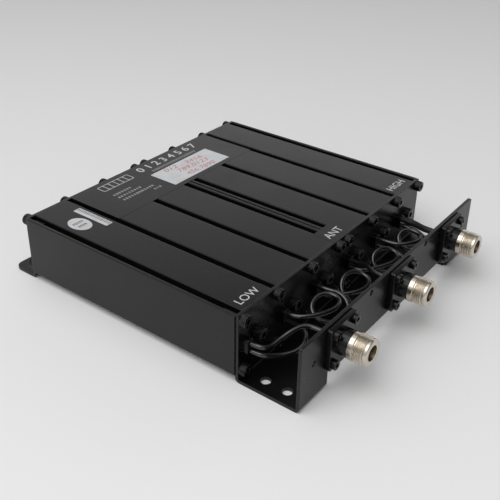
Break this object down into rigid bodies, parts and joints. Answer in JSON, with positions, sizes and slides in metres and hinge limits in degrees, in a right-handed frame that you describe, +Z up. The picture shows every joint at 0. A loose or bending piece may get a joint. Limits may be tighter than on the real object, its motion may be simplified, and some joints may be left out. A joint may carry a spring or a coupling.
{
  "type": "rf duplexer",
  "caption": "Flat black cavity duplexer: ribbed extrusions between folded end plates, threaded coaxial sockets on a front bracket, short coaxial links looping behind them.",
  "frame": {"origin": "centre of the whole object's box, at the floor under the ears", "axes": "+X from the low side to the high side, +Y from the connectors towards the tuning screws, +Z up"},
  "size_m": [0.201, 0.24, 0.0431],
  "materials": {
    "black_body": "satin powder coat",
    "black_sheet": "satin powder coat",
    "black_screw": "black oxide, slightly oily",
    "rod_metal": "turned",
    "brass": "turned",
    "port_metal": "dark plated",
    "silvered_wire": "bright",
    "nickel": "nickel plate",
    "white_insulator": "satin",
    "gold_contact": "gold plate",
    "black_cable": "smooth jacket",
    "sleeve": "shrunk sleeve",
    "black_plate": "printed film",
    "white_paper": "paper film"
  },
  "bodies": {
    "housing": {"antenna_connector_contact": "gold_contact", "antenna_connector_insulator": "white_insulator", "antenna_connector_shell": "nickel", "antenna_ferrule": "sleeve", "antenna_legend": "black_plate", "body_extrusion_high": "black_body", "body_extrusion_low": "black_body", "cable_port_1": "port_metal", "cable_port_2": "port_metal", "cable_port_3": "port_metal", "cable_port_4": "port_metal", "cable_port_5": "port_metal", "cable_port_6": "port_metal", "coupling_loop_1": "silvered_wire", "coupling_loop_2": "silvered_wire", "coupling_loop_3": "silvered_wire", "coupling_loop_4": "silvered_wire", "coupling_loop_5": "silvered_wire", "coupling_loop_6": "silvered_wire", "flange_screws": "black_screw", "front_bracket": "black_sheet", "front_plate_screws": "black_screw", "high_connector_contact": "gold_contact", "high_connector_insulator": "white_insulator", "high_connector_shell": "nickel", "high_lead": "black_cable", "high_lead_ferrule": "sleeve", "link_1_2": "black_cable", "link_2_3": "black_cable", "link_3_antenna": "black_cable", "link_4_5": "black_cable", "link_5_6": "black_cable", "link_antenna_4": "black_cable", "low_connector_contact": "gold_contact", "low_connector_insulator": "white_insulator", "low_connector_shell": "nickel", "low_lead": "black_cable", "low_lead_ferrule": "sleeve", "nameplate": "black_plate", "oval_sticker": "white_paper", "rear_plate": "black_sheet", "rear_plate_screws": "black_screw", "resonator_rod_1": "rod_metal", "resonator_rod_2": "rod_metal", "resonator_rod_3": "rod_metal", "resonator_rod_4": "rod_metal", "resonator_rod_5": "rod_metal", "resonator_rod_6": "rod_metal", "resonator_screws": "black_screw", "serial_label": "white_paper", "tuning_bushes": "brass", "tuning_lock_nuts": "nickel", "tuning_sticker": "white_paper"},
    "tuner_1": {"tuning_screw_1": "brass"},
    "tuner_2": {"tuning_screw_2": "brass"},
    "tuner_3": {"tuning_screw_3": "brass"},
    "tuner_4": {"tuning_screw_4": "brass"},
    "tuner_5": {"tuning_screw_5": "brass"},
    "tuner_6": {"tuning_screw_6": "brass"}
  },
  "joints": [
    {"name": "tuning_screw_1_travel", "type": "slide", "parent": "housing", "child": "tuner_1", "axis": [0, 1, 0], "range_m": [-0.0045, 0.006]},
    {"name": "tuning_screw_2_travel", "type": "slide", "parent": "housing", "child": "tuner_2", "axis": [0, 1, 0], "range_m": [-0.0045, 0.006]},
    {"name": "tuning_screw_3_travel", "type": "slide", "parent": "housing", "child": "tuner_3", "axis": [0, 1, 0], "range_m": [-0.0045, 0.006]},
    {"name": "tuning_screw_4_travel", "type": "slide", "parent": "housing", "child": "tuner_4", "axis": [0, 1, 0], "range_m": [-0.0045, 0.006]},
    {"name": "tuning_screw_5_travel", "type": "slide", "parent": "housing", "child": "tuner_5", "axis": [0, 1, 0], "range_m": [-0.0045, 0.006]},
    {"name": "tuning_screw_6_travel", "type": "slide", "parent": "housing", "child": "tuner_6", "axis": [0, 1, 0], "range_m": [-0.0045, 0.006]}
  ]
}
